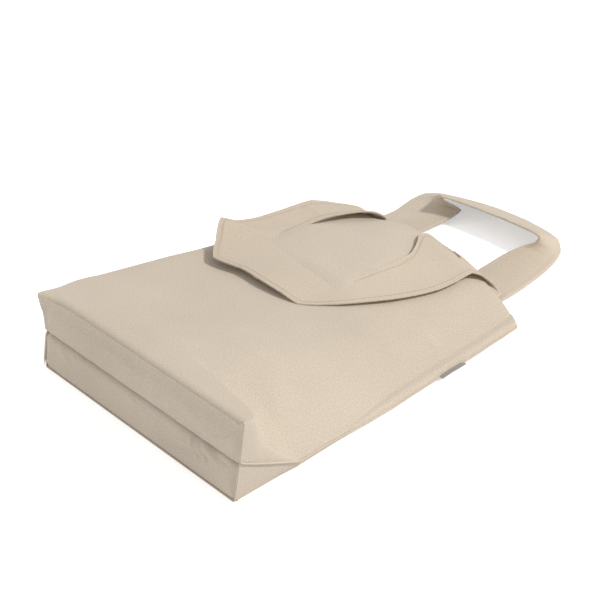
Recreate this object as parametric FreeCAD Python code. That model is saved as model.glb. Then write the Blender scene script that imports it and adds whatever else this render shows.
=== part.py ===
"""Canvas tote bag lying on its back panel, boxed bottom towards -Y, mouth towards +Y.

X runs across the bag, Y from the boxed bottom to the mouth, Z is up. The shapes are laid out from the
middle of the boxed bottom's lower edge, then moved so that the origin is the middle of the resting
face. The cloth is stood in for by closed sheets of an even thickness. Lengths are millimetres.
"""
import FreeCAD, Part
import math
import os

os.makedirs("parts", exist_ok=True)

# Driving dimensions
BOTTOM_WIDTH = 296.0        # across the boxed bottom
BOX_DEPTH = 86.0            # height of the boxed bottom
BAG_LENGTH = 410.0          # from the bottom to the corners of the mouth
BOTTOM_LEAN = 16.0          # how far the top crease leans towards the mouth
NEAR_EDGE = 157.0           # x of the near side seam, past the boxed corner
FAR_EDGE = -178.0           # x of the far side seam, past the boxed corner
BOX_CORNER_RUN = 75.0       # y at which the boxed corner has run out into the side seam
MOUTH_BOW = 18.0            # how much further the middle of the mouth reaches than its corners
MOUTH_RISE = 29.0           # how far the middle of the mouth is lifted
CROWN_FALL = 0.187          # fall of the front panel towards the mouth, per millimetre
REST_CENTRE = (-10.5, 205.0)  # middle of the resting face, from the bottom's middle

# Cloth and seams
CLOTH = 1.6                 # thickness that stands for the cloth
TRIM = 0.8                  # thickness of hems, sewn ends and seam allowances
PARTING = 1.8               # half the gap between the two panels in the bottom face
CORNER_GAP = 1.8            # gap between the two panels at the boxed corners
SIDE_GAP = 0.6              # gap between the two panels along the side seams
FLOOR_INSET = 7.0           # how far the back panel's sides curl in under the side seam
SEAM_ALLOWANCE = 9.0        # width of the cloth turned inside a seam
HEM_DEPTH = 26.0            # depth of the hem turned inside the mouth
HEM_END = 12.0              # how far a hem stops short of the side seams
INSIDE_GAP = 1.4            # gap between the front panel and the hem inside it

# Handles and label
STRAP_WIDTH = 58.0          # finished width of a handle's band
STRAP_CENTRE = 86.0         # distance of a handle's ends from the bag's centre line
SEWN_DEPTH = 34.0           # how far a handle's ends reach down inside the mouth
TACK = (9.0, 2.2, 0.9)      # one bar of reinforcing stitches: length, width, height
JOINT_OVERLAP = 10.0        # overlap where the two lengths of a band are joined
LABEL = (9.0, 38.0, 0.8)    # side label: reach past the seam, length along it, thickness
LABEL_Y = 276.0             # where the label starts along the near side seam

HALF = BOTTOM_WIDTH / 2
MIDDLE = BOX_DEPTH / 2
GRID_ACROSS = 18
GRID_ALONG = 12
PANEL_BREAKS = (0, 2, 5, 9, 13, 16, 18)   # columns at which the front panel is parted into lengths
ROWS = [BOTTOM_LEAN + (BAG_LENGTH - BOTTOM_LEAN) * (j / GRID_ALONG) ** 1.3 for j in range(GRID_ALONG + 1)]
SIDES = (("near", 1), ("far", -1))


def smooth(value):
    """Ease from 0 to 1 as value goes from 0 to 1."""
    value = min(max(value, 0.0), 1.0)
    return value * value * (3.0 - 2.0 * value)


def mix(start, end, share):
    return start + (end - start) * share


def past_corner(y):
    """0 at the boxed bottom, 1 where the boxed corner has run out into the side seam."""
    return min(max((y - BOTTOM_LEAN) / (BOX_CORNER_RUN - BOTTOM_LEAN), 0.0), 1.0)


def edge_x(side, y):
    """x of the side seam: side is 1 on the near side and -1 on the far side."""
    outer = NEAR_EDGE if side > 0 else FAR_EDGE
    return mix(side * HALF, outer, past_corner(y))


def leaned(y, z):
    """y of a point of the bag's sides: near the bottom they lean with the bottom face."""
    return y - BOTTOM_LEAN * (1.0 - z / BOX_DEPTH) * (1.0 - past_corner(y))


def seam_height(y):
    """Height of the side seam: half the box at the bottom, close to the floor past the corner."""
    low = mix(12.0, 4.5, smooth((y - BOX_CORNER_RUN) / 150.0))
    return mix(MIDDLE + 2.0, low, past_corner(y))


def crown_power(side, along):
    """How square the front panel's section is: square at the box, rounder at the mouth."""
    if side > 0:
        return mix(40.0, 2.3, min(along / 0.2, 1.0) ** 0.4)
    return mix(40.0, 2.4, smooth(along) ** 0.75)


def front_height(x, y):
    """Height of the front panel's outer face."""
    along = min(max((y - BOTTOM_LEAN) / (BAG_LENGTH - BOTTOM_LEAN), 0.0), 1.05)
    side = 1 if x > 0 else -1
    share = min(abs(x / edge_x(side, y)), 1.0)
    crown = BOX_DEPTH - CROWN_FALL * (y - BOTTOM_LEAN)
    crown += MOUTH_RISE * smooth((along - 0.45) / 0.55)
    seam = seam_height(y)
    return seam + (crown - seam) * (1.0 - share ** crown_power(side, along))


def mouth_y(x):
    """y of the mouth's hem."""
    side = 1 if x > 0 else -1
    share = min(abs(x / edge_x(side, BAG_LENGTH)), 1.0)
    return BAG_LENGTH + MOUTH_BOW * (1.0 - share ** 2)


def vector(x, y, z):
    return FreeCAD.Vector(x, y, z)


def triangle(a, b, c):
    return Part.Face(Part.makePolygon([a, b, c, a]))


def quad_faces(rows):
    """Two triangles for each cell of a grid of points."""
    faces = []
    for low, high in zip(rows, rows[1:]):
        for i in range(len(low) - 1):
            faces.append(triangle(low[i], low[i + 1], high[i + 1]))
            faces.append(triangle(low[i], high[i + 1], high[i]))
    return faces


def sheet_solid(rows, other):
    """A closed solid between a grid of points and a second grid on its other face."""
    faces = quad_faces(rows) + quad_faces(other)
    borders = [
        (rows[0], other[0]),
        (rows[-1], other[-1]),
        ([row[0] for row in rows], [row[0] for row in other]),
        ([row[-1] for row in rows], [row[-1] for row in other]),
    ]
    for upper, lower in borders:
        faces += quad_faces([upper, lower])
    solid = Part.Solid(Part.Shell(faces))
    if solid.Volume < 0:
        solid.reverse()
    return solid


def lowered(rows, drop):
    return [[point - vector(0, 0, drop) for point in row] for row in rows]


def bottom_half(z_low, z_high):
    """One half of the boxed bottom face, between two heights."""
    outer = [
        [vector(side * HALF, BOTTOM_LEAN * z / BOX_DEPTH, z) for side in (-1, 1)]
        for z in (z_low, z_high)
    ]
    inner = [[point + vector(0, CLOTH, 0) for point in row] for row in outer]
    return sheet_solid(outer, inner)


def front_panel():
    """The upper sheet, in lengths side by side, and the upper half of the boxed bottom below it."""
    rows = []
    for y in ROWS:
        share = (y - BOTTOM_LEAN) / (BAG_LENGTH - BOTTOM_LEAN)
        row = []
        for i in range(GRID_ACROSS + 1):
            across = math.sin(math.pi / 2 * (2.0 * i / GRID_ACROSS - 1.0))
            x = abs(across) * edge_x(1 if across > 0 else -1, y)
            bowed = y + (mouth_y(x) - BAG_LENGTH) * share
            z = front_height(x, bowed)
            row.append(vector(x, leaned(bowed, z), z))
        rows.append(row)
    narrowed = 1.0 - CLOTH / HALF
    inner = [[vector(p.x * narrowed, p.y, p.z - CLOTH) for p in row] for row in rows]
    lengths = []
    for low, high in zip(PANEL_BREAKS, PANEL_BREAKS[1:]):
        piece = slice(low, high + 1)
        lengths.append(sheet_solid([row[piece] for row in rows], [row[piece] for row in inner]))
    return lengths + [bottom_half(MIDDLE + PARTING, BOX_DEPTH - CLOTH - 2.0)]


def back_panel():
    """The lower sheet: flat on the floor, with its sides and the lower half of the bottom turned up."""
    inside, outside = [], []
    for y in ROWS:
        top = seam_height(y) - CLOTH - mix(CORNER_GAP, SIDE_GAP, past_corner(y))
        inset = mix(0.5, FLOOR_INSET, past_corner(y))
        for rows, thick, z in ((inside, CLOTH, CLOTH), (outside, 0.0, 0.0)):
            low, high = edge_x(-1, y) + thick, edge_x(1, y) - thick
            row = [vector(low, leaned(y, top), top)]
            for i in range(9):
                x = mix(low + inset, high - inset, i / 8)
                bow = (mouth_y(x) - BAG_LENGTH) * y / BAG_LENGTH
                row.append(vector(x, leaned(y, z) + bow, z))
            row.append(vector(high, leaned(y, top), top))
            rows.append(row)
    floor = sheet_solid(inside, outside)
    return floor.fuse(bottom_half(0.0, MIDDLE - PARTING))


def panel_under(x, y, drop):
    """A point below the front panel's outer face."""
    return vector(x, y, front_height(x, y) - drop)


def front_strip(x_from, x_to, depth, reach, drop):
    """A strip inside the front panel along the mouth: it starts past the hem by reach."""
    rows = []
    for y_back in (-reach, depth * 0.3, depth * 0.65, depth):
        row = []
        for i in range(GRID_ACROSS + 1):
            x = mix(x_from, x_to, i / GRID_ACROSS)
            row.append(panel_under(x, mouth_y(x) - y_back, drop))
        rows.append(row)
    return sheet_solid(rows, lowered(rows, TRIM))


def back_strip(x_from, x_to, depth, reach, height):
    """A strip that lies on the back panel along the mouth."""
    rows = []
    for y_back in (-reach, depth):
        xs = [mix(x_from, x_to, i / GRID_ACROSS) for i in range(GRID_ACROSS + 1)]
        rows.append([vector(x, mouth_y(x) - y_back, height + TRIM) for x in xs])
    return sheet_solid(rows, lowered(rows, TRIM))


def sewn_ends(make, *spacing):
    """Both ends of a handle, sewn inside the mouth."""
    half = STRAP_WIDTH / 2
    return [make(c - half, c + half, SEWN_DEPTH, *spacing) for c in (-STRAP_CENTRE, STRAP_CENTRE)]


def tacks(height):
    """The bars of reinforcing stitches across a handle's ends; height gives z of the face below."""
    bars = []
    length, width, thick = TACK
    for centre in (-STRAP_CENTRE, STRAP_CENTRE):
        for offset in (-STRAP_WIDTH / 2 + length, STRAP_WIDTH / 2 - length):
            x = centre + offset
            y = mouth_y(x) - SEWN_DEPTH + 5.0
            bars.append(Part.makeBox(length, width, thick, vector(x - length / 2, y, height(x, y))))
    return bars


def bottom_seam():
    """The seam allowance turned inside along the middle of the bottom face."""
    z = MIDDLE - PARTING
    y = BOTTOM_LEAN * z / BOX_DEPTH + CLOTH / 2
    return Part.makeBox(BOTTOM_WIDTH - 12.0, SEAM_ALLOWANCE, TRIM, vector(-HALF + 6.0, y, z))


def side_seam(side):
    """The seam allowance turned inside along a side seam."""
    rows = []
    for y in (BOX_CORNER_RUN + 5.0, BAG_LENGTH - HEM_DEPTH - 6.0):
        z = CLOTH + 0.1
        x = edge_x(side, y) - side * (FLOOR_INSET + 2 * CLOTH)
        rows.append([vector(x, y, z + TRIM), vector(x - side * SEAM_ALLOWANCE, y, z + TRIM)])
    return sheet_solid(rows, lowered(rows, TRIM))


def corner_seam(side, z_low, z_high):
    """The seam allowance turned inside up one end of the bottom face."""
    rows = []
    for z in (z_low, z_high):
        y = BOTTOM_LEAN * z / BOX_DEPTH + CLOTH
        x = side * (HALF - 16.0)
        rows.append([vector(x, y, z), vector(x, y + SEAM_ALLOWANCE, z)])
    shift = vector(side * TRIM, 0, 0)
    return sheet_solid(rows, [[point + shift for point in row] for row in rows])


def side_label():
    """The small folded label held in the near side seam."""
    reach, length, thick = LABEL
    x = edge_x(1, LABEL_Y) + SIDE_GAP
    z = seam_height(LABEL_Y)
    rows = [
        [vector(x, y, z), vector(x + reach * 0.5, y, z + 1.2), vector(x + reach, y, z + 1.6)]
        for y in (LABEL_Y, LABEL_Y + length)
    ]
    return sheet_solid(rows, lowered(rows, thick))


# Each station across a handle's band: (outer edge, inner edge), from the near end to the far end.
FRONT_STATIONS = [
    ((116, 428, 17), (48, 434, 35)),
    ((106, 428, 27), (22, 434, 40)),
    ((95, 420, 37), (4, 432, 46)),
    ((89, 409, 43), (2, 420, 50)),
    ((89, 383, 44), (14, 400, 51)),
    ((86, 357, 44), (25, 378, 53)),
    ((77, 328, 45), (26, 351, 53)),
    ((65, 298, 48), (20, 322, 53)),
    ((40, 257, 50), (16, 298, 52)),
    ((6, 220, 51), (12, 284, 51)),
    ((-14, 216, 57), (-10, 286, 51)),
    ((-44, 214, 60), (-36, 289, 51)),
    ((-76, 215, 60), (-66, 294, 52)),
    ((-112, 206, 62), (-90, 299, 52)),
    ((-136, 231, 63), (-98, 302, 51)),
    ((-157, 257, 72), (-103, 306, 50)),
    ((-155, 277, 61), (-106, 313, 49)),
    ((-150, 305, 55), (-107, 326, 48)),
    ((-143, 342, 54), (-105, 346, 48)),
    ((-132, 376, 57), (-98, 364, 52)),
    ((-119, 404, 48), (-88, 384, 54)),
    ((-110, 428, 38), (-80, 406, 52)),
    ((-108, 442, 28), (-72, 424, 47)),
    ((-111, 438, 17), (-64, 437, 36)),
]
BACK_STATIONS = [
    ((115, 434, 5), (57, 434, 5)),
    ((114, 470, 3), (55, 470, 4)),
    ((110, 510, 2), (57, 507, 7)),
    ((105, 542, 3), (67, 530, 14)),
    ((97, 563, 4), (78, 538, 22)),
    ((77, 583, 4), (81, 539, 29)),
    ((42, 593, 2), (46, 540, 30)),
    ((-16, 592, 2), (-12, 535, 30)),
    ((-60, 582, 2), (-42, 529, 31)),
    ((-89, 568, 4), (-56, 524, 31)),
    ((-104, 551, 6), (-47, 534, 23)),
    ((-108, 530, 4), (-38, 543, 14)),
    ((-106, 500, 2), (-44, 515, 5)),
    ((-108, 466, 3), (-49, 476, 4)),
    ((-115, 434, 5), (-57, 434, 5)),
]
FRONT_JOINT = 11            # stations after which the two lengths of each band are joined
BACK_JOINT = 6

def band(stations, thickness, lift=0.0):
    """A closed strip of cloth through the stations; lift raises it off their own faces."""
    upper, lower = [], []
    edges = [(vector(*outer), vector(*inner)) for outer, inner in stations]
    facing = vector(0, 0, 1)
    for k, (outer, inner) in enumerate(edges):
        before = edges[max(k - 1, 0)]
        after = edges[min(k + 1, len(edges) - 1)]
        along = (after[0] + after[1]) - (before[0] + before[1])
        normal = (inner - outer).cross(along).normalize()
        if normal.dot(facing) < 0:
            normal = normal * -1
        facing = normal
        points = [outer, (outer + inner) * 0.5, inner]
        upper.append([point + normal * (lift + thickness / 2) for point in points])
        lower.append([point + normal * (lift - thickness / 2) for point in points])
    return sheet_solid(upper, lower)


def handle(stations, joint):
    """A handle's band in its two lengths, which meet at the joint."""
    return [band(stations[:joint + 1], CLOTH), band(stations[joint:], CLOTH)]


def between(start, end, share):
    return tuple(mix(a, b, share) for a, b in zip(start, end))


def band_joint(stations, k):
    """The doubled cloth where a band's two lengths are joined, after station k."""
    (outer, inner), (next_outer, next_inner) = stations[k], stations[k + 1]
    share = JOINT_OVERLAP / (vector(*next_outer) - vector(*outer)).Length
    far_end = (between(outer, next_outer, share), between(inner, next_inner, share))
    return band([stations[k], far_end], TRIM, CLOTH + TRIM / 2)


def save(name, solids):
    """Move a piece's solids to the part's origin and write them."""
    shape = solids[0] if len(solids) == 1 else Part.makeCompound(solids)
    shape.translate(vector(-REST_CENTRE[0], -REST_CENTRE[1], 0))
    shape.exportStep(f"parts/{name}.step")
    volume = sum(solid.Volume for solid in solids)
    valid = all(solid.isValid() for solid in solids)
    print(f"{name:26} {volume / 1000:8.2f} cm3  solids {len(shape.Solids)}  valid {valid}")


def main():
    hem_from, hem_to = FAR_EDGE + HEM_END, NEAR_EDGE - HEM_END
    save("back_panel", [back_panel()])
    save("bottom_seam", [bottom_seam()])
    for name, side in SIDES:
        save(f"{name}_side_seam", [side_seam(side)])
        save(f"{name}_corner_seam_low", [corner_seam(side, 4.0, MIDDLE - 4.0)])
        save(f"{name}_corner_seam_high", [corner_seam(side, MIDDLE + 4.0, BOX_DEPTH - 18.0)])
    save("back_hem", [back_strip(hem_from, hem_to, HEM_DEPTH, -1.0, CLOTH)])
    save("back_handle_ends", sewn_ends(back_strip, 2.0, CLOTH + TRIM))
    save("back_handle_tacks", tacks(lambda x, y: CLOTH + 2 * TRIM))
    save("front_panel", front_panel())
    save("front_hem", [front_strip(hem_from, hem_to, HEM_DEPTH, -1.0, CLOTH + INSIDE_GAP)])
    save("front_handle_ends", sewn_ends(front_strip, 2.0, CLOTH + 2 * INSIDE_GAP + TRIM))
    save("front_handle_tacks", tacks(lambda x, y: front_height(x, y) + 1.2))
    save("front_handle", handle(FRONT_STATIONS, FRONT_JOINT))
    save("front_handle_joint", [band_joint(FRONT_STATIONS, FRONT_JOINT)])
    save("back_handle", handle(BACK_STATIONS, BACK_JOINT))
    save("back_handle_joint", [band_joint(BACK_STATIONS, BACK_JOINT)])
    save("side_label", [side_label()])


main()
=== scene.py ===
"""Canvas tote bag lying on its back panel: cloth, handles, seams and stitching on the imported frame.

Shapes are laid out in millimetres from the middle of the boxed bottom, as in the part's source, and
metres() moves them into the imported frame.
"""
import math

import bpy
import numpy as np
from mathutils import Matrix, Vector, noise


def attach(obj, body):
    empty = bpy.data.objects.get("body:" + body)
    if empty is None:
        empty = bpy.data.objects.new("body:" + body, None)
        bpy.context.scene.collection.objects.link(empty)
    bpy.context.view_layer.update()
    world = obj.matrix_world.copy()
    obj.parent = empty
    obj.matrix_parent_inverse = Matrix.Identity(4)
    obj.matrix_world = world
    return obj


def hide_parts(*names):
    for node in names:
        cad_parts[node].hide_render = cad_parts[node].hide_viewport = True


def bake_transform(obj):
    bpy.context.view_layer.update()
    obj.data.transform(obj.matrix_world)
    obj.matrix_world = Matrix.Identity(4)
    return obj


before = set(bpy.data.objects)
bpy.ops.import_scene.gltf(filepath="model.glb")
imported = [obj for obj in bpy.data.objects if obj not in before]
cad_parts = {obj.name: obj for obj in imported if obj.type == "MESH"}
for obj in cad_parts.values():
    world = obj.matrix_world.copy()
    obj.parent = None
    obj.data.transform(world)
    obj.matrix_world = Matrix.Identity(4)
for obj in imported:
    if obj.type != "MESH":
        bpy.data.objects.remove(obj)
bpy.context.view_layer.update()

# The bag's measures, as in the part's source
BOTTOM_WIDTH = 296.0
BOX_DEPTH = 86.0
BAG_LENGTH = 410.0
BOTTOM_LEAN = 16.0
NEAR_EDGE = 157.0
FAR_EDGE = -178.0
BOX_CORNER_RUN = 75.0
MOUTH_BOW = 18.0
MOUTH_RISE = 29.0
CROWN_FALL = 0.187
REST_CENTRE = (-10.5, 205.0)
FLOOR_INSET = 7.0
HALF = BOTTOM_WIDTH / 2
MIDDLE = BOX_DEPTH / 2

# Cloth, seams and stitches
CLOTH = 1.0                 # thickness of the canvas
HEM_THICK = 2.2             # thickness of the hem, which is folded twice
HEM_DEPTH = 24.0
BAND_WIDTH = 58.0           # finished width of a handle's band
BAND_THICK = 1.9            # thickness of the folded handle band
PER_SPAN = 10               # rows of a band from one station to the next
CURVE_SHARE = 0.62          # how far the bands' edges round their corners
STITCH_INSET = 6.5          # from a band's edge to its topstitching
STITCH_LENGTH = 2.9
STITCH_PITCH = 3.9
STITCH_RADIUS = 0.45
STITCH_SKIP = 12            # rows of a band at each end that have no topstitching
JOINT_REACH = 2             # rows of the band on each side of a joint
SEAM_GAP = 1.1              # half the gap between the two halves of the bottom face
CREASE_RADIUS = 7.0         # rounding of the top crease
BOTTOM_ROWS = 34            # rows in each half of the bottom face
WALL_START = 0.93           # share of the back cloth's half width that lies on the floor
WALL_SHARE = 0.07           # and the share that is turned up
SEAM_TUCK = 5.5             # how far the bottom seam pulls the lower cloth in
CORNER_SQUARE = 500.0       # how square the two ends of the top crease stand
TOP_FAR_START = 159.0       # how far out the top crease reaches at its far end
TOP_FAR_EDGE = 173.0        # how far out the top of the far side stands, past the boxed corner
EAR_LENGTH = 5.5            # how far the far end of the top crease is pulled to a point
END_DROP = 4.5              # how far the far end of the top crease hangs lower
MOUTH_CORNER = 7.0          # radius of the two corners of the mouth
LABEL_FROM = 277.0          # y at which the side label starts and ends
LABEL_TO = 314.0
LABEL_INSIDE = 6.2          # how far the label runs inside the seam
LABEL_WIDTH = 11.0

# Handle stations: (outer edge, inner edge) across the band, from the near root to the far root
FRONT_STATIONS = [
    ((116, 392, 18), (58, 392, 34)),
    ((117, 417, 16), (59, 421, 33)),
    ((116, 428, 17), (48, 434, 35)),
    ((106, 428, 27), (22, 434, 40)),
    ((95, 420, 37), (4, 432, 46)),
    ((89, 409, 43), (2, 420, 50)),
    ((89, 383, 44), (14, 400, 51)),
    ((86, 357, 44), (25, 378, 53)),
    ((77, 328, 45), (26, 351, 53)),
    ((65, 298, 48), (20, 322, 53)),
    ((40, 257, 50), (16, 298, 52)),
    ((6, 220, 51), (12, 284, 51)),
    ((-14, 216, 57), (-10, 286, 51)),
    ((-44, 214, 60), (-36, 289, 51)),
    ((-76, 215, 60), (-66, 294, 52)),
    ((-112, 206, 62), (-90, 299, 52)),
    ((-136, 231, 63), (-98, 302, 51)),
    ((-157, 257, 72), (-103, 306, 50)),
    ((-155, 277, 61), (-106, 313, 49)),
    ((-150, 305, 55), (-107, 326, 48)),
    ((-143, 342, 54), (-105, 346, 48)),
    ((-132, 376, 57), (-98, 364, 52)),
    ((-119, 404, 48), (-88, 384, 54)),
    ((-110, 428, 38), (-80, 406, 52)),
    ((-108, 442, 28), (-72, 424, 47)),
    ((-111, 438, 17), (-64, 437, 36)),
    ((-115, 426, 11), (-58, 429, 28)),
    ((-116, 394, 13), (-58, 394, 30)),
]
BACK_STATIONS = [
    ((115, 384, 4), (57, 384, 4)),
    ((115, 434, 5), (57, 434, 5)),
    ((114, 470, 3), (55, 470, 4)),
    ((110, 510, 2), (57, 507, 7)),
    ((105, 542, 3), (67, 530, 14)),
    ((97, 563, 4), (78, 538, 22)),
    ((77, 583, 4), (81, 539, 29)),
    ((42, 593, 2), (46, 540, 30)),
    ((-16, 592, 2), (-12, 535, 30)),
    ((-60, 582, 2), (-42, 529, 31)),
    ((-89, 568, 4), (-56, 524, 31)),
    ((-104, 551, 6), (-47, 534, 23)),
    ((-108, 530, 4), (-38, 543, 14)),
    ((-106, 500, 2), (-44, 515, 5)),
    ((-108, 466, 3), (-49, 476, 4)),
    ((-115, 434, 5), (-57, 434, 5)),
    ((-115, 384, 4), (-57, 384, 4)),
]
FRONT_JOINT = 13            # stations at which the two lengths of each band are joined
BACK_JOINT = 7


def metres(points):
    """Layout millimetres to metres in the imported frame."""
    return (np.asarray(points, float) - (REST_CENTRE[0], REST_CENTRE[1], 0.0)) / 1000.0


def smooth(value):
    """Ease from 0 to 1 as value goes from 0 to 1."""
    value = np.clip(value, 0.0, 1.0)
    return value * value * (3.0 - 2.0 * value)


def mix(start, end, share):
    """The value that lies share of the way from start to end."""
    return start + (end - start) * share


def hill(distance, width):
    """1 at no distance, falling to 0 over a few widths."""
    return np.exp(-((distance / width) ** 2))


def rolling(x, y, scale_x, scale_y, seed):
    """Smooth fixed unevenness from -1 to 1 over arrays of x and y."""
    flat = [
        noise.noise(Vector((a / scale_x, b / scale_y, seed)))
        for a, b in zip(np.ravel(x), np.ravel(y))
    ]
    return np.array(flat).reshape(np.shape(x))


# ---------------------------------------------------------------- the bag's shape


def past_corner(y):
    """0 at the boxed bottom, 1 where the boxed corner has run out into the side seam."""
    return np.clip((y - BOTTOM_LEAN) / (BOX_CORNER_RUN - BOTTOM_LEAN), 0.0, 1.0)


def edge_x(side, y):
    """x of the side seam: side is 1 on the near side and -1 on the far side."""
    outer = np.where(np.asarray(side) > 0, NEAR_EDGE, FAR_EDGE)
    return mix(side * HALF, outer, past_corner(y))


def leaned(y, z):
    """y of a point of the bag's sides: near the bottom they lean with the bottom face."""
    return y - BOTTOM_LEAN * (1.0 - z / BOX_DEPTH) * (1.0 - past_corner(y))


def seam_height(y):
    """Height of the side seam: half the box at the bottom, close to the floor past the corner."""
    low = mix(12.0, 4.5, smooth((y - BOX_CORNER_RUN) / 150.0))
    return mix(MIDDLE + 1.0, low, past_corner(y))


def crown_power(side, along):
    """How square the front panel's section is: square at the box, rounder at the mouth."""
    near = mix(60.0, 2.3, np.minimum(along / 0.1, 1.0) ** 0.3)
    far = mix(40.0, 2.4, smooth(along) ** 0.75)
    near = near + CORNER_SQUARE * hill(along, 0.03)
    far = far + CORNER_SQUARE * hill(along, 0.08)
    return np.where(side > 0, near, far)


def facet_height(y):
    """Height of the crease that runs from the near end of the top crease to the side seam."""
    return mix(BOX_DEPTH - 2.0, 11.0, past_corner(y))


def front_height(x, y):
    """Height of the front panel's even shape: its crown and the near side's facet crease."""
    along = np.clip((y - BOTTOM_LEAN) / (BAG_LENGTH - BOTTOM_LEAN), 0.0, 1.05)
    side = np.where(x > 0, 1.0, -1.0)
    share = np.minimum(np.abs(x / edge_x(side, y)), 1.0)
    crown = BOX_DEPTH - CROWN_FALL * (y - BOTTOM_LEAN)
    crown = crown + MOUTH_RISE * smooth((along - 0.45) / 0.55)
    seam = seam_height(y)
    height = seam + (crown - seam) * (1.0 - share ** crown_power(side, along))
    facet = seam + np.maximum(facet_height(y) - seam, 0.0) * (1.0 - share ** 90)
    return np.where(side > 0, np.maximum(height, facet), height)


def mouth_y(x):
    """y of the mouth's edge, which reaches furthest in the middle."""
    side = np.where(x > 0, 1.0, -1.0)
    share = np.minimum(np.abs(x / edge_x(side, BAG_LENGTH)), 1.0)
    return BAG_LENGTH + MOUTH_BOW * (1.0 - share ** 2)


def fold(x, y, start, end, width, height):
    """A soft ridge between two points of a face, fading at both ends."""
    start, end = np.array(start, float), np.array(end, float)
    run = end - start
    length = np.hypot(*run)
    ahead = ((x - start[0]) * run[0] + (y - start[1]) * run[1]) / length
    aside = ((x - start[0]) * run[1] - (y - start[1]) * run[0]) / length
    fade = smooth(ahead / (0.35 * length)) * smooth((length - ahead) / (0.35 * length))
    return height * hill(aside, width) * fade


# Folds: (start, end, width, height), on the front panel in x and y, on the bottom face in x and z
FRONT_FOLDS = (
    ((88, 300), (150, 372), 7, 3.4),
    ((98, 268), (152, 330), 8, 2.2),
    ((120, 330), (152, 405), 6, -2.6),
    ((104, 300), (150, 296), 4, 1.2),
    ((60, 236), (130, 262), 12, 1.6),
    ((-10, 150), (70, 236), 9, 1.0),
    ((-140, 90), (-40, 150), 10, 1.1),
    ((0, 96), (96, 128), 7, 0.9),
    ((70, 120), (150, 60), 16, 1.8),
    ((96, 92), (150, 40), 9, -1.4),
    ((-120, 60), (40, 44), 20, 1.5),
    ((-165, 250), (-120, 400), 12, 2.2),
    ((-150, 200), (-160, 330), 9, -1.6),
    ((20, 60), (120, 210), 22, 1.6),
    ((-60, 110), (60, 190), 26, -1.4),
)
BOTTOM_FOLDS = (
    ((80, 40), (100, 16), 2.2, 1.9),
    ((90, 40), (116, 20), 2.0, -1.6),
    ((100, 39), (128, 27), 1.8, 1.6),
    ((112, 37), (140, 34), 2.4, -1.4),
    ((106, 50), (136, 66), 2.4, 1.3),
    ((-128, 38), (-96, 22), 3.0, 1.1),
    ((-20, 36), (30, 24), 4.0, 0.8),
    ((-60, 70), (20, 62), 4.0, 0.7),
)


def front_relief(x, y, share):
    """How the canvas of the front panel stands off its even shape."""
    calm = (1.0 - share ** 6) * smooth((y - BOTTOM_LEAN) / 30.0)
    lift = 1.8 * rolling(x, y, 85, 95, 3.1) + 0.55 * rolling(x, y, 26, 34, 7.7)
    for start, end, width, height in FRONT_FOLDS:
        lift = lift + fold(x, y, start, end, width, height)
    under_band = hill(np.hypot((x - 30) / 75, (y - 330) / 110), 0.75)
    lift = lift * calm * (1.0 - 0.7 * under_band)
    square = 5.0 * hill(x + 150, 22) * hill(y - 205, 60)
    inside_loop = smooth((x + 132) / 40) * smooth((42 - x) / 34) * smooth((y - 252) / 34)
    swell = 6.0 * inside_loop * (1.0 - smooth((y - 335) / 80))
    lip = 9.0 * hill(x + 26, 34) * smooth((y - 325) / 95) + 6.0 * hill(x + 100, 16) * smooth((y - 355) / 55)
    return lift + (square + swell + lip) * calm


def loop_rise(x, y):
    """Height the panel swells to inside the front handle, where it meets the band's inner edge."""
    edge = np.array([station[1] for station in FRONT_STATIONS[7:21]], float)
    nearest = np.full(np.broadcast(x, y).shape, 1e6)
    height = np.zeros(nearest.shape)
    for k, (start, end) in enumerate(zip(edge, edge[1:])):
        run = end[:2] - start[:2]
        share = np.clip(((x - start[0]) * run[0] + (y - start[1]) * run[1]) / (run @ run), 0.0, 1.0)
        aside = np.hypot(x - start[0] - share * run[0], y - start[1] - share * run[1])
        inside = (x - start[0]) * run[1] - (y - start[1]) * run[0] > 0
        fade = smooth((k + share) / 2.0) * smooth((len(edge) - 1 - k - share) / 2.0)
        closer = aside < nearest
        rise = mix(start[2], end[2], share) + 0.2 - (aside / 11.0) ** 2 - 30.0 * (1.0 - fade)
        height = np.where(closer, np.where(inside, rise, 0.0), height)
        nearest = np.minimum(nearest, aside)
    return height


def bottom_relief(x, z):
    """How far the boxed bottom stands off its plane, outwards."""
    half = np.where(z > MIDDLE, (z - MIDDLE) / MIDDLE, (MIDDLE - z) / MIDDLE)
    bulge = 2.6 * np.sin(math.pi * np.clip(half, 0, 1)) ** 0.8
    puckers = 0.5 * rolling(x, z, 11, 30, 5.3) + 1.1 * rolling(x, z, 60, 34, 9.4)
    wrinkles = 1.5 * hill(z - 26 - 0.18 * (x - 60), 4.0) * hill(x - 92, 42)
    wrinkles -= 1.3 * hill(z - 17 - 0.22 * (x - 60), 3.5) * hill(x - 88, 36)
    wrinkles += 1.0 * hill(z - 62 + 0.25 * (x - 80), 5.0) * hill(x - 86, 30)
    for start, end, width, height in BOTTOM_FOLDS:
        wrinkles = wrinkles + fold(x, z, start, end, width, height)
    flat = smooth(np.abs(np.abs(x) - HALF) / 10.0)
    tuck = np.where(z > MIDDLE, -1.2 * hill(z - MIDDLE, 4.0), SEAM_TUCK * hill(z - MIDDLE, 4.5))
    return (bulge + (puckers + wrinkles) * (1.0 - 0.5 * hill(z - MIDDLE, 4))) * flat - tuck


# ---------------------------------------------------------------- mesh helpers


def unit(vectors):
    length = np.linalg.norm(vectors, axis=-1, keepdims=True)
    return vectors / np.maximum(length, 1e-9)


def grid_normals(grid):
    """Unit normals of a grid of points, one for each point."""
    down = np.gradient(grid, axis=0)
    across = np.gradient(grid, axis=1)
    return unit(np.cross(across, down))


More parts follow.
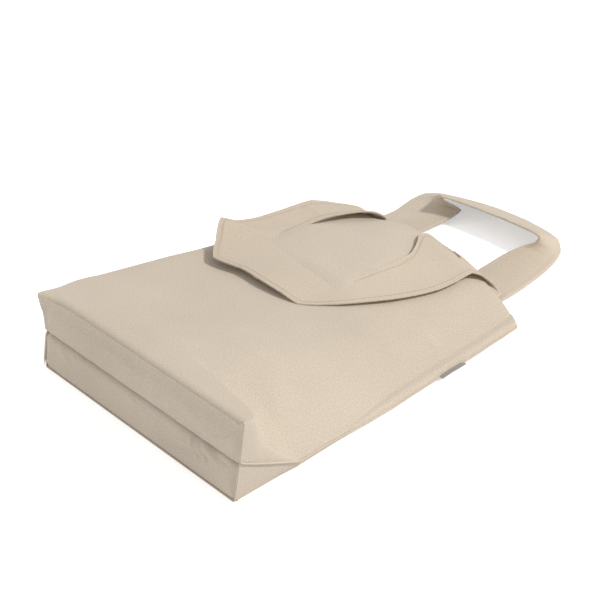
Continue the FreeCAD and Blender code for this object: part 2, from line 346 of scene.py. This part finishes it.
def lengths_along(grid, axis):
    """Distance run along one axis of a grid of points, at each point."""
    steps = np.linalg.norm(np.diff(grid, axis=axis), axis=-1)
    run = np.cumsum(steps, axis=axis)
    pad = [(1, 0), (0, 0)] if axis == 0 else [(0, 0), (1, 0)]
    return np.pad(run, pad)


def make_object(name, points, faces, uvs, material):
    """A smooth-shaded mesh from points in metres, with a cloth UV map in millimetres."""
    mesh = bpy.data.meshes.new(name)
    mesh.from_pydata([tuple(point) for point in points], [], faces)
    layer = mesh.uv_layers.new(name="cloth")
    corners = np.array([uvs[i] for face in faces for i in face], np.float32)
    layer.data.foreach_set("uv", corners.ravel())
    mesh.polygons.foreach_set("use_smooth", [True] * len(mesh.polygons))
    mesh.update()
    obj = bpy.data.objects.new(name, mesh)
    bpy.context.scene.collection.objects.link(obj)
    mesh.materials.append(material)
    return obj


def shell(name, grid, thickness, material, sharp_rim=True):
    """A closed sheet of cloth: the grid is its outer face, and thickness (mm) goes inwards."""
    rows, columns = grid.shape[:2]
    normals = grid_normals(grid)
    thick = np.broadcast_to(np.asarray(thickness, float), (rows, columns))[..., None]
    layers = [grid, grid - normals * thick]
    points = np.concatenate([layer.reshape(-1, 3) for layer in layers])
    u, v = lengths_along(grid, 1), lengths_along(grid, 0)
    uv = np.stack([u, v], axis=-1).reshape(-1, 2)
    uvs = np.concatenate([uv, uv + 0.37])
    count = rows * columns
    faces = []
    for r in range(rows - 1):
        for c in range(columns - 1):
            a = r * columns + c
            b, d, e = a + 1, a + columns + 1, a + columns
            faces.append((a, e, d, b))
            faces.append((a + count, b + count, d + count, e + count))
    rim = [r * columns for r in range(rows)]
    rim += [(rows - 1) * columns + c for c in range(1, columns)]
    rim += [r * columns + columns - 1 for r in range(rows - 2, -1, -1)]
    rim += list(range(columns - 2, 0, -1))
    for a, b in zip(rim, rim[1:] + rim[:1]):
        faces.append((b, a, a + count, b + count))
    obj = make_object(name, metres(points), faces, uvs, material)
    if sharp_rim:
        sharpen_rim(obj)
    return obj


def sharpen_rim(obj):
    """Marks the sheet's rim sharp, so that its thin edge doesn't pull the faces' shading round."""
    obj.data.set_sharp_from_angle(angle=math.radians(50.0))


def sweep(name, path, side, up, half_width, height, material, taper=0.0):
    """A flattened bead along a path: half_width (mm) along side, height (mm) along up."""
    ring = 8
    path, side, up = np.asarray(path, float), unit(np.asarray(side)), unit(np.asarray(up))
    count = len(path)
    ends = np.ones(count)
    if taper:
        run = np.linspace(0, 1, count)
        ends = smooth(run / taper) * smooth((1 - run) / taper) * 0.85 + 0.15
    points, uvs = [], []
    run = np.concatenate([[0], np.cumsum(np.linalg.norm(np.diff(path, axis=0), axis=1))])
    for k in range(count):
        for j in range(ring):
            angle = 2 * math.pi * j / ring
            offset = side[k] * half_width[k] * math.cos(angle) + up[k] * height[k] * math.sin(angle)
            points.append(path[k] + offset * ends[k])
            uvs.append((run[k], j * 1.1))
    faces = []
    for k in range(count - 1):
        for j in range(ring):
            a, b = k * ring + j, k * ring + (j + 1) % ring
            faces.append((a, b, b + ring, a + ring))
    faces.append(tuple(range(ring - 1, -1, -1)))
    faces.append(tuple((count - 1) * ring + j for j in range(ring)))
    return make_object(name, metres(points), faces, uvs, material)


def stitches(name, path, normal):
    """A row of separate lock stitches that lie on the cloth along a path."""
    path, normal = np.asarray(path, float), unit(np.asarray(normal, float))
    run = np.concatenate([[0], np.cumsum(np.linalg.norm(np.diff(path, axis=0), axis=1))])
    points, faces, uvs = [], [], []
    ring = 6
    profile = ((-0.5, 0.25, -0.5), (-0.4, 0.8, 0.1), (0.0, 1.0, 0.45), (0.4, 0.8, 0.1), (0.5, 0.25, -0.5))
    for k in range(int((run[-1] - STITCH_LENGTH) / STITCH_PITCH)):
        middle = (k + 0.5) * STITCH_PITCH
        at = np.array([np.interp(middle, run, path[:, i]) for i in range(3)])
        ahead = np.array([np.interp(middle + 0.6, run, path[:, i]) for i in range(3)])
        up = unit(np.array([np.interp(middle, run, normal[:, i]) for i in range(3)]))
        along = unit(ahead - at)
        across = np.cross(along, up)
        first = len(points)
        for reach, swell, rise in profile:
            centre = at + along * reach * STITCH_LENGTH + up * rise * STITCH_RADIUS
            for j in range(ring):
                angle = 2 * math.pi * j / ring
                offset = across * math.cos(angle) + up * 0.8 * math.sin(angle)
                points.append(centre + offset * STITCH_RADIUS * swell)
                uvs.append((reach * STITCH_LENGTH, j))
        for s in range(len(profile) - 1):
            for j in range(ring):
                a = first + s * ring + j
                b = first + s * ring + (j + 1) % ring
                faces.append((a, b, b + ring, a + ring))
        last = first + (len(profile) - 1) * ring
        faces.append(tuple(first + j for j in range(ring - 1, -1, -1)))
        faces.append(tuple(last + j for j in range(ring)))
    return make_object(name, metres(points), faces, uvs, THREAD)


# ---------------------------------------------------------------- materials


class Nodes:
    """Short ways to add and join shader nodes."""

    def __init__(self, name):
        self.material = bpy.data.materials.new(name)
        self.material.use_nodes = True
        self.tree = self.material.node_tree
        self.bsdf = self.tree.nodes["Principled BSDF"]

    def add(self, kind, **inputs):
        node = self.tree.nodes.new(kind)
        for key, value in inputs.items():
            self.feed(node.inputs[key.replace("_", " ")], value)
        return node

    def feed(self, socket, value):
        if isinstance(value, bpy.types.NodeSocket):
            self.tree.links.new(value, socket)
        else:
            socket.default_value = value

    def math(self, operation, a, b=0.0, c=0.0):
        node = self.tree.nodes.new("ShaderNodeMath")
        node.operation = operation
        for socket, value in zip(node.inputs, (a, b, c)):
            self.feed(socket, value)
        return node.outputs[0]

    def blend(self, share, a, b, mode="MIX"):
        node = self.tree.nodes.new("ShaderNodeMix")
        node.data_type = "RGBA"
        node.blend_type = mode
        for key, value in ((0, share), (6, a), (7, b)):
            self.feed(node.inputs[key], value)
        return node.outputs[2]

    def noise(self, vector, scale, detail=3.0):
        node = self.add("ShaderNodeTexNoise", Vector=vector, Scale=scale, Detail=detail)
        return node.outputs["Fac"]

    def spread(self, value, low, high):
        node = self.add("ShaderNodeMapRange", Value=value)
        node.inputs["From Min"].default_value = low
        node.inputs["From Max"].default_value = high
        return node.outputs["Result"]


WEAVE_PITCH = 1.05          # millimetres from one yarn to the next


def canvas(name, base, dark, light):
    """Unbleached plain-woven canvas: yarns over and under, slubs, seed flecks and uneven tone."""
    n = Nodes(name)
    coordinates = n.add("ShaderNodeTexCoord")
    uv = coordinates.outputs["UV"]
    place = coordinates.outputs["Object"]
    split = n.add("ShaderNodeSeparateXYZ", Vector=uv)
    turn = 2 * math.pi / WEAVE_PITCH
    wobble = n.math("MULTIPLY", n.noise(uv, 0.35, 2.0), 1.6)
    warp = n.math("SINE", n.math("ADD", n.math("MULTIPLY", split.outputs["X"], turn), wobble))
    weft = n.math("SINE", n.math("ADD", n.math("MULTIPLY", split.outputs["Y"], turn), wobble))
    weave = n.math("MULTIPLY", warp, weft)
    slub_across = n.add("ShaderNodeMapping", Vector=uv)
    slub_across.inputs["Scale"].default_value = (0.05, 1.6, 1.0)
    slub_along = n.add("ShaderNodeMapping", Vector=uv)
    slub_along.inputs["Scale"].default_value = (1.6, 0.05, 1.0)
    slubs = n.math(
        "ADD",
        n.noise(slub_across.outputs[0], 1.0, 2.0),
        n.noise(slub_along.outputs[0], 1.0, 2.0),
    )
    tone = n.noise(place, 9.0, 4.0)
    shade = n.blend(n.spread(tone, 0.3, 0.7), (*dark, 1), (*light, 1))
    shade = n.blend(n.math("MULTIPLY", n.spread(slubs, 0.75, 1.3), 0.35), shade, (*base, 1))
    yarn = n.spread(weave, -1.0, 1.0)
    shade = n.blend(n.math("MULTIPLY", yarn, 0.10), shade, (1.0, 0.97, 0.92, 1), "SOFT_LIGHT")
    grain = n.spread(n.noise(uv, 0.62, 4.0), 0.32, 0.68)
    specks = n.blend(grain, (*[c * 0.45 for c in dark], 1), (*[c * 1.5 for c in light], 1))
    shade = n.blend(0.22, shade, specks)
    seeds = n.add("ShaderNodeTexVoronoi", Vector=uv, Scale=0.11)
    fleck = n.math("LESS_THAN", seeds.outputs["Distance"], 0.055)
    few = n.math("GREATER_THAN", n.noise(uv, 0.06, 1.0), 0.56)
    flecks = n.math("MULTIPLY", n.math("MULTIPLY", fleck, few), 0.55)
    shade = n.blend(flecks, shade, (0.16, 0.10, 0.05, 1))
    n.feed(n.bsdf.inputs["Base Color"], shade)
    n.feed(n.bsdf.inputs["Roughness"], n.math("ADD", n.math("MULTIPLY", slubs, 0.06), 0.82))
    n.bsdf.inputs["Specular IOR Level"].default_value = 0.18
    n.bsdf.inputs["Sheen Weight"].default_value = 0.18
    n.bsdf.inputs["Sheen Roughness"].default_value = 0.6
    relief = n.math("ADD", n.math("MULTIPLY", weave, 0.5), n.math("MULTIPLY", slubs, 0.9))
    bumped = n.add("ShaderNodeBump", Height=relief, Strength=0.28, Distance=0.00035)
    n.feed(n.bsdf.inputs["Normal"], bumped.outputs["Normal"])
    return n.material


def yarn_material(name, colour):
    """Sewing thread: twisted plies with a faint sheen."""
    n = Nodes(name)
    uv = n.add("ShaderNodeTexCoord").outputs["UV"]
    twist = n.add("ShaderNodeTexWave", Vector=uv, Scale=1.4, Distortion=0.6)
    ply = twist.outputs["Fac"]
    shade = n.blend(ply, (*[c * 0.86 for c in colour], 1), (*colour, 1))
    n.feed(n.bsdf.inputs["Base Color"], shade)
    n.bsdf.inputs["Roughness"].default_value = 0.62
    n.bsdf.inputs["Sheen Weight"].default_value = 0.25
    bumped = n.add("ShaderNodeBump", Height=ply, Strength=0.4, Distance=0.0002)
    n.feed(n.bsdf.inputs["Normal"], bumped.outputs["Normal"])
    return n.material


def label_material(name):
    """Woven tape, dark grey with a paler selvedge."""
    n = Nodes(name)
    uv = n.add("ShaderNodeTexCoord").outputs["UV"]
    split = n.add("ShaderNodeSeparateXYZ", Vector=uv)
    ribs = n.math("SINE", n.math("MULTIPLY", split.outputs["Y"], 9.0))
    fleece = n.noise(uv, 0.9, 3.0)
    band = n.math("GREATER_THAN", split.outputs["X"], 3.4)
    shade = n.blend(fleece, (0.035, 0.032, 0.03, 1), (0.085, 0.078, 0.07, 1))
    shade = n.blend(n.math("MULTIPLY", band, 0.9), shade, (0.33, 0.31, 0.28, 1))
    n.feed(n.bsdf.inputs["Base Color"], shade)
    n.bsdf.inputs["Roughness"].default_value = 0.7
    bumped = n.add("ShaderNodeBump", Height=ribs, Strength=0.35, Distance=0.0003)
    n.feed(n.bsdf.inputs["Normal"], bumped.outputs["Normal"])
    return n.material


CANVAS = canvas("canvas", (0.545, 0.465, 0.373), (0.512, 0.435, 0.346), (0.58, 0.497, 0.402))
BAND_CANVAS = canvas("band canvas", (0.55, 0.465, 0.365), (0.51, 0.428, 0.334), (0.585, 0.498, 0.395))
# The seam's canvas is the same cloth made a little darker: painted shade for the recess between the bottom
# face's two halves.
SHADED_SEAM_CANVAS = canvas("seam canvas with painted shade", (0.52, 0.43, 0.33), (0.475, 0.39, 0.295), (0.555, 0.463, 0.36))
THREAD = yarn_material("thread", (0.42, 0.33, 0.235))
LABEL = label_material("label tape")


# ---------------------------------------------------------------- the cloth


def corner_inset(y):
    """How far the side edges draw in at the rounded corners of the mouth."""
    near_mouth = np.clip(1.0 - (BAG_LENGTH - y) / MOUTH_CORNER, 0.0, 1.0)
    return MOUTH_CORNER * (1.0 - np.sqrt(1.0 - near_mouth ** 2))


def front_row_y():
    """y of the rows of the front and back cloth, closer together near the bottom."""
    share = np.linspace(0.0, 1.0, 170)
    return mix(BOTTOM_LEAN, BAG_LENGTH, share ** 1.25)


def front_grid(side, columns=96):
    """Outer face of one half of the front panel, from the crease to the mouth."""
    y = front_row_y()[:, None]
    share = np.sin(np.linspace(0.0, math.pi / 2, columns))[None, :]
    along = (y - BOTTOM_LEAN) / (BAG_LENGTH - BOTTOM_LEAN)
    x = side * share * np.abs(edge_x(side, y))
    bowed = y + (mouth_y(x) - BAG_LENGTH) * along
    z = front_height(x + side * 1e-6, bowed)
    near_crease = np.clip(1.0 - (y - BOTTOM_LEAN) / CREASE_RADIUS, 0.0, 1.0)
    rounding = CREASE_RADIUS * 0.75 * (1.0 - np.sqrt(1.0 - near_crease ** 2))
    z = z - rounding * smooth((z - MIDDLE) / 25.0) * smooth((1.0 - share) / 0.05)
    z = z + front_relief(x, bowed, share)
    z = np.maximum(z, loop_rise(x, bowed))
    y_out = leaned(bowed, z)
    if side < 0:
        top_edge = mix(TOP_FAR_START, TOP_FAR_EDGE, smooth((y - BOTTOM_LEAN) / 90.0))
        x = x - (top_edge - np.abs(edge_x(side, y))) * smooth((z - 30.0) / 45.0) * share ** 6
        ear = hill(y - BOTTOM_LEAN, 14.0) * smooth((share - 0.9) / 0.1) * smooth((z - 60.0) / 24.0)
        x = x - EAR_LENGTH * ear
        y_out = y_out - 0.6 * EAR_LENGTH * ear
        far_end = hill(y - BOTTOM_LEAN, 38.0) * smooth((np.abs(x) - 112.0) / 40.0)
        z = z - END_DROP * far_end * smooth((z - 50.0) / 30.0)
    x = x - side * corner_inset(y) * share ** 10
    grid = np.stack([x + 0 * y, y_out, z], axis=-1)
    return grid if side > 0 else grid[:, ::-1]


def front_halves():
    """Both halves of the front panel: the side, the outer face's grid and the cloth of each."""
    halves = {}
    for name, side in (("near", 1), ("far", -1)):
        grid = front_grid(side)
        y = grid[..., 1]
        to_mouth = mouth_y(grid[..., 0]) - y
        thickness = mix(HEM_THICK, CLOTH, smooth((to_mouth - HEM_DEPTH + 1.0) / 2.0))
        halves[name] = (side, grid, shell(f"front_cloth_{name}", grid, thickness, CANVAS))
    return halves


def bottom_cloth(front):
    """The boxed bottom: the upper and the lower half of the face below the top crease."""
    crease = np.concatenate([front["far"][1][0], front["near"][1][0][1:]])
    half = np.sin(np.linspace(0.0, math.pi / 2, front["near"][1].shape[1]))
    share = np.concatenate([-half[::-1], half[1:]])
    rows = []
    for k in np.linspace(0.0, 1.0, BOTTOM_ROWS):
        x = mix(share * HALF, crease[:, 0], k ** 2)
        z = mix(MIDDLE + SEAM_GAP, crease[:, 2], k)
        y = mix(BOTTOM_LEAN * z / BOX_DEPTH, crease[:, 1], smooth((k - 0.55) / 0.45))
        rows.append(np.stack([x, y - bottom_relief(x, z) * (1.0 - k ** 5), z], axis=-1))
    upper = np.array(rows[::-1])
    rows = []
    for k in np.linspace(0.0, 1.0, BOTTOM_ROWS):
        x = share * HALF
        z = mix(MIDDLE - SEAM_GAP, 0.0, k) + 0 * x
        corner = 1.8 * (1.0 - smooth((1.0 - np.abs(share)) / 0.05))
        y = BOTTOM_LEAN * z / BOX_DEPTH + 3.0 * smooth((k - 0.86) / 0.14) + corner * k
        rows.append(np.stack([x, y - bottom_relief(x, z) * (1.0 - k ** 6), z], axis=-1))
    lower = np.array(rows)
    return (
        shell("bottom_cloth_upper", upper, CLOTH, CANVAS),
        shell("bottom_cloth_lower", lower, CLOTH, CANVAS),
    )


def back_cloth():
    """The back panel: flat on the floor, with its sides turned up to the side seams."""
    y = front_row_y()[:, None]
    share = np.linspace(-1.0, 1.0, 150)[None, :]
    side = np.where(share > 0, 1.0, -1.0)
    edge = edge_x(side, y)
    inset = mix(1.0, FLOOR_INSET, past_corner(y))
    wall = np.clip((np.abs(share) - WALL_START) / WALL_SHARE, 0.0, 1.0)
    on_floor = np.abs(share) / WALL_START * (edge - side * inset)
    x = np.where(wall > 0, edge - side * inset * (1.0 - wall) ** 1.6, on_floor)
    z = (seam_height(y) - 0.9) * wall ** 1.5
    bow = (mouth_y(x) - BAG_LENGTH) * (y - BOTTOM_LEAN) / (BAG_LENGTH - BOTTOM_LEAN)
    x = x - side * corner_inset(y) * np.abs(share) ** 10
    grid = np.stack([x + 0 * y, leaned(y, z) + bow, z + 0 * x], axis=-1)
    to_mouth = mouth_y(grid[..., 0]) - grid[..., 1]
    thickness = mix(HEM_THICK, CLOTH, smooth((to_mouth - HEM_DEPTH + 1.0) / 2.0))
    return shell("back_cloth", grid[:, ::-1], thickness[:, ::-1], CANVAS)


def side_seam(name, side):
    """The lip of the side seam, from the boxed corner to the mouth."""
    y = mix(BOTTOM_LEAN, BAG_LENGTH - 1.0, np.linspace(0, 1, 120) ** 1.3)
    z = seam_height(y) - 0.4
    x = edge_x(side, y) + side * (0.5 - corner_inset(y))
    path = np.stack([x, leaned(y, z), z + 0.15 * np.sin(y / 7.0)], axis=-1)
    outward = np.tile([side * 1.0, 0.0, -0.25], (len(y), 1))
    upward = np.tile([side * 0.25, 0.0, 1.0], (len(y), 1))
    width = 1.5 + 0.3 * np.sin(y / 23.0)
    return sweep(name, path, outward, upward, width, 0.75 + 0 * y, CANVAS)


def corner_ridge(name, side):
    """The raised seam up one end of the boxed bottom."""
    z = np.linspace(2.0, BOX_DEPTH - 6.0, 60)
    notch = 1.3 * hill(z - MIDDLE, 3.0)
    y = BOTTOM_LEAN * z / BOX_DEPTH - 0.8 + notch
    wave = 0.5 * np.sin(z / 8.0 + side)
    reach = 0.0 if side > 0 else (TOP_FAR_START - HALF) * smooth((z - 40.0) / 42.0)
    tip = 0.0 if side > 0 else EAR_LENGTH * smooth((z - 60.0) / 24.0)
    x = side * (HALF + 0.4 - notch * 0.6 + reach + tip) + wave * 0.4
    path = np.stack([x, y - 0.6 * tip, z - 0.4 * tip], axis=-1)
    full = 2.0 if side > 0 else 1.1
    wide = (full + 0.3 * np.sin(z / 11.0)) * (1.0 - 0.5 * smooth((z - 55.0) / 28.0))
    outward = np.tile([side * 0.8, -0.7, 0.0], (len(z), 1))
    across = np.tile([side * 0.7, 0.8, 0.0], (len(z), 1))
    return sweep(name, path, outward, across, wide, 0.55 * wide, CANVAS, 0.12)


def bottom_seam():
    """The seam line of the bottom face, set back between its two halves; its darker canvas is painted shade
    for that recess.
    """
    x = np.linspace(-HALF + 1.0, HALF - 1.0, 90)
    y = BOTTOM_LEAN * 0.5 + SEAM_TUCK + 0.6 + 0 * x
    path = np.stack([x, y, MIDDLE + 0.25 * np.sin(x / 9.0)], axis=-1)
    side = np.tile([0.0, 1.0, 0.0], (len(x), 1))
    up = np.tile([0.0, 0.0, 1.0], (len(x), 1))
    return sweep("bottom_seam_fold", path, side, up, 1.2 + 0 * x, 1.5 + 0 * x, SHADED_SEAM_CANVAS)


# ---------------------------------------------------------------- the handles


def through(points):
    """A centripetal curve through the points, drawn towards the straight runs between them."""
    points = np.asarray(points, float)
    padded = np.concatenate([[2 * points[0] - points[1]], points, [2 * points[-1] - points[-2]]])
    result = []
    for k in range(1, len(padded) - 2):
        p = padded[k - 1:k + 3]
        knots = [0.0]
        for a, b in zip(p, p[1:]):
            knots.append(knots[-1] + max(np.linalg.norm(b - a), 1e-3) ** 0.5)
        for t in np.linspace(knots[1], knots[2], PER_SPAN, endpoint=False):
            level = list(p)
            for depth in (1, 2, 3):
                level = [
                    (level[i] * (knots[i + depth] - t) + level[i + 1] * (t - knots[i]))
                    / (knots[i + depth] - knots[i])
                    for i in range(len(level) - 1)
                ]
            straight = mix(p[1], p[2], (t - knots[1]) / (knots[2] - knots[1]))
            result.append(mix(straight, level[0], CURVE_SHARE))
    result.append(points[-1])
    return np.array(result)


def band_frame(stations):
    """Outer edge, inner edge and face normal along a band."""
    outer = through([station[0] for station in stations])
    inner = through([station[1] for station in stations])
    along = np.gradient((outer + inner) / 2, axis=0)
    normal = unit(np.cross(inner - outer, along))
    facing = np.array([0.0, 0.0, 1.0])
    for k in range(len(normal)):
        if normal[k] @ facing < 0:
            normal[k] = -normal[k]
        facing = normal[k]
    for _ in range(6):
        normal[1:-1] = unit(normal[:-2] + 2 * normal[1:-1] + normal[2:])
    return outer, inner, normal


def band_surface(outer, inner, normal, crown, seed):
    """Mid-surface of the band: slightly crowned across, uneven, dented along its topstitching."""
    width = np.linalg.norm(inner - outer, axis=1)[:, None]
    share = np.concatenate([
        [0, 0.006, 0.018, 0.035, 0.06],
        np.linspace(0.085, 0.915, 25),
        [0.94, 0.965, 0.982, 0.994, 1],
    ])[None, :]
    edge = np.minimum(share, 1 - share) * width
    run = np.concatenate([[0], np.cumsum(np.linalg.norm(np.diff(outer + inner, axis=0), axis=1) / 2)])
    across, down = np.broadcast_arrays(share * BAND_WIDTH, run[:, None])
    lift = crown * np.sin(math.pi * share) ** 0.7 + 0.5 * rolling(across, down, 30, 38, seed)
    lift = lift + 0.35 * rolling(across, down, 60, 9, seed + 4) * smooth(edge / 8.0)
    lift = lift - 0.5 * hill(edge - STITCH_INSET, 1.1)
    middle = outer[:, None] + (inner - outer)[:, None] * share[..., None]
    return middle + normal[:, None] * lift[..., None], edge


def band_mesh(name, outer, inner, normal, crown, seed):
    """A handle's band as a closed folded strip with rounded edges; returns its upper face too."""
    surface, edge = band_surface(outer, inner, normal, crown, seed)
    half = BAND_THICK / 2 * np.sqrt(1.0 - (1.0 - np.minimum(edge / 1.6, 1.0)) ** 2)
    half = np.maximum(half, 0.12)
    top = surface + normal[:, None] * half[..., None]
    return shell(name, top, 2 * half, BAND_CANVAS, sharp_rim=False), top


def stitch_line(top, from_inner):
    """Where a row of topstitching runs along a band, on its upper face."""
    rows = top[:, ::-1] if from_inner else top
    path = []
    for row in rows[STITCH_SKIP:-STITCH_SKIP]:
        run = np.concatenate([[0], np.cumsum(np.linalg.norm(np.diff(row, axis=0), axis=1))])
        path.append([np.interp(STITCH_INSET, run, row[:, i]) for i in range(3)])
    return np.array(path)


def joint_fold(name, top, normal, k):
    """The doubled cloth where the two lengths of a band are joined, with two rows of stitches."""
    reach = JOINT_REACH
    run = np.linspace(-1, 1, 2 * reach + 1)[:, None, None]
    rows = slice(k - reach, k + reach + 1)
    grid = top[rows] + normal[rows][:, None] * (0.25 + 1.0 * (1.0 - run ** 8))
    fold = shell(name, grid, 0.9, BAND_CANVAS)
    rows_of_stitches = []
    for label, row in (("a", 1), ("b", 2 * reach - 1)):
        path = grid[row, 3:-3] + normal[k] * 0.1
        facing = np.tile(normal[k], (len(path), 1))
        rows_of_stitches.append(stitches(f"{name}_stitches_{label}", path, facing))
    return [fold] + rows_of_stitches


def handle(name, stations, joint, crown, seed):
    """One handle with its topstitching and its joint; returns every piece and the band's length."""
    outer, inner, normal = band_frame(stations)
    band, top = band_mesh(name, outer, inner, normal, crown, seed)
    pieces = [band]
    for label, from_inner in (("outer", False), ("inner", True)):
        path = stitch_line(top, from_inner)
        facing = normal[STITCH_SKIP:-STITCH_SKIP]
        pieces.append(stitches(f"{name}_stitches_{label}", path, facing))
    pieces += joint_fold(f"{name}_joint_fold", top, normal, joint * PER_SPAN + 3)
    centre = (outer + inner) / 2
    length = np.sum(np.linalg.norm(np.diff(centre, axis=0), axis=1)) / 1000.0
    return pieces, length


# ---------------------------------------------------------------- the label


def side_label():
    """The small folded tape held in the near side seam."""
    y = np.linspace(LABEL_FROM, LABEL_TO, 24)[:, None]
    out = np.linspace(0.0, 1.0, 8)[None, :]
    x = NEAR_EDGE - LABEL_INSIDE + LABEL_WIDTH * out + 0 * y
    sag = 0.6 * np.sin((y - LABEL_FROM) / 9.0) * out
    z = 4.6 + 1.6 * out - 1.2 * out ** 2 + sag
    grid = np.stack([x, y + 0.8 * out, z], axis=-1)
    return shell("side_label_tape", grid, 0.9, LABEL)


# ---------------------------------------------------------------- building


def lift_with_front(piece):
    """Bakes the piece's transform into its mesh, so that it stays where it was built."""
    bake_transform(piece)


def build():
    """Makes every piece, hides the imported parts it takes the place of and puts the fixed pieces on the
    bag's body.
    """
    front = front_halves()
    upper, lower = bottom_cloth(front)
    back = back_cloth()
    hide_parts("front_panel", "front_hem", "front_handle_ends", "front_handle_tacks")
    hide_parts("back_panel", "back_hem", "back_handle_ends", "back_handle_tacks")
    for side, _, cloth in front.values():
        lift_with_front(cloth)
    seam = bottom_seam()
    fixed = [upper, lower, back, seam]
    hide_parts("bottom_seam")
    for name, side in (("near", 1), ("far", -1)):
        lip = side_seam(f"{name}_seam_lip", side)
        ridge = corner_ridge(f"{name}_corner_ridge", side)
        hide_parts(f"{name}_side_seam")
        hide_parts(f"{name}_corner_seam_low", f"{name}_corner_seam_high")
        fixed += [lip, ridge]
    for piece in fixed:
        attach(piece, "bag")
    pieces, front_length = handle("front_band", FRONT_STATIONS, FRONT_JOINT, 0.7, 2.0)
    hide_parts("front_handle", "front_handle_joint")
    for piece in pieces:
        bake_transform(piece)
    pieces, back_length = handle("back_band", BACK_STATIONS, BACK_JOINT, 0.6, 6.0)
    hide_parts("back_handle", "back_handle_joint")
    for piece in pieces:
        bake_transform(piece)
    label = side_label()
    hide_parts("side_label")
    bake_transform(label)


def floor():
    """White paper. Only camera rays see it lighter and faintly glowing, so that it reads white."""
    bpy.ops.mesh.primitive_plane_add(size=12.0, location=(0.0, 0.0, -0.0004))
    plane = bpy.context.object
    plane.name = "floor"
    n = Nodes("floor paper")
    tone = n.noise(n.add("ShaderNodeTexCoord").outputs["Object"], 1.5, 2.0)
    bounced = n.blend(tone, (0.91, 0.91, 0.91, 1), (0.94, 0.94, 0.94, 1))
    seen = n.add("ShaderNodeLightPath").outputs["Is Camera Ray"]
    n.feed(n.bsdf.inputs["Base Color"], n.blend(seen, bounced, (0.97, 0.97, 0.97, 1)))
    n.feed(n.bsdf.inputs["Emission Strength"], n.math("MULTIPLY", seen, 0.44))
    n.bsdf.inputs["Emission Color"].default_value = (1.0, 1.0, 1.0, 1)
    n.bsdf.inputs["Roughness"].default_value = 0.9
    n.bsdf.inputs["Specular IOR Level"].default_value = 0.1
    plane.data.materials.append(n.material)


def area_light(name, place, aim, size, power, colour):
    """A round soft light at a place, turned to its aim."""
    data = bpy.data.lights.new(name, "AREA")
    data.shape = "DISK"
    data.size = size
    data.energy = power
    data.color = colour
    obj = bpy.data.objects.new(name, data)
    obj.location = place
    obj.rotation_euler = (Vector(aim) - Vector(place)).to_track_quat("-Z", "Y").to_euler()
    bpy.context.scene.collection.objects.link(obj)


def lights():
    """Even studio light, a key light and a weak fill."""
    world = bpy.data.worlds.new("studio")
    world.use_nodes = True
    background = world.node_tree.nodes["Background"]
    background.inputs["Color"].default_value = (1.0, 1.0, 1.0, 1)
    background.inputs["Strength"].default_value = 0.62
    bpy.context.scene.world = world
    area_light("key", (2.0, 1.4, 2.4), (0, 0, 0), 0.4, 76.0, (1.0, 0.985, 0.965))
    area_light("fill", (-1.6, -2.1, 0.8), (0, -0.2, 0.04), 0.7, 13.0, (1.0, 1.0, 1.0))


CAMERA_AZIMUTH = 45.63      # degrees round from -Y towards +X
CAMERA_ELEVATION = 33.9
CAMERA_DISTANCE = 1.56      # metres from the target
CAMERA_TARGET = (-50.28, 278.38, 0.0)
CAMERA_LENS = 83.19


def camera():
    """The camera, placed round its target by azimuth, elevation and distance."""
    a, e = math.radians(CAMERA_AZIMUTH), math.radians(CAMERA_ELEVATION)
    target = Vector(metres(CAMERA_TARGET))
    back = Vector((math.sin(a) * math.cos(e), -math.cos(a) * math.cos(e), math.sin(e)))
    data = bpy.data.cameras.new("camera")
    data.lens = CAMERA_LENS
    data.sensor_width = 36.0
    obj = bpy.data.objects.new("camera", data)
    obj.location = target + back * CAMERA_DISTANCE
    obj.rotation_euler = back.to_track_quat("Z", "Y").to_euler()
    bpy.context.scene.collection.objects.link(obj)
    bpy.context.scene.camera = obj


build()
floor()
lights()
camera()
bpy.context.scene.view_settings.view_transform = "Standard"
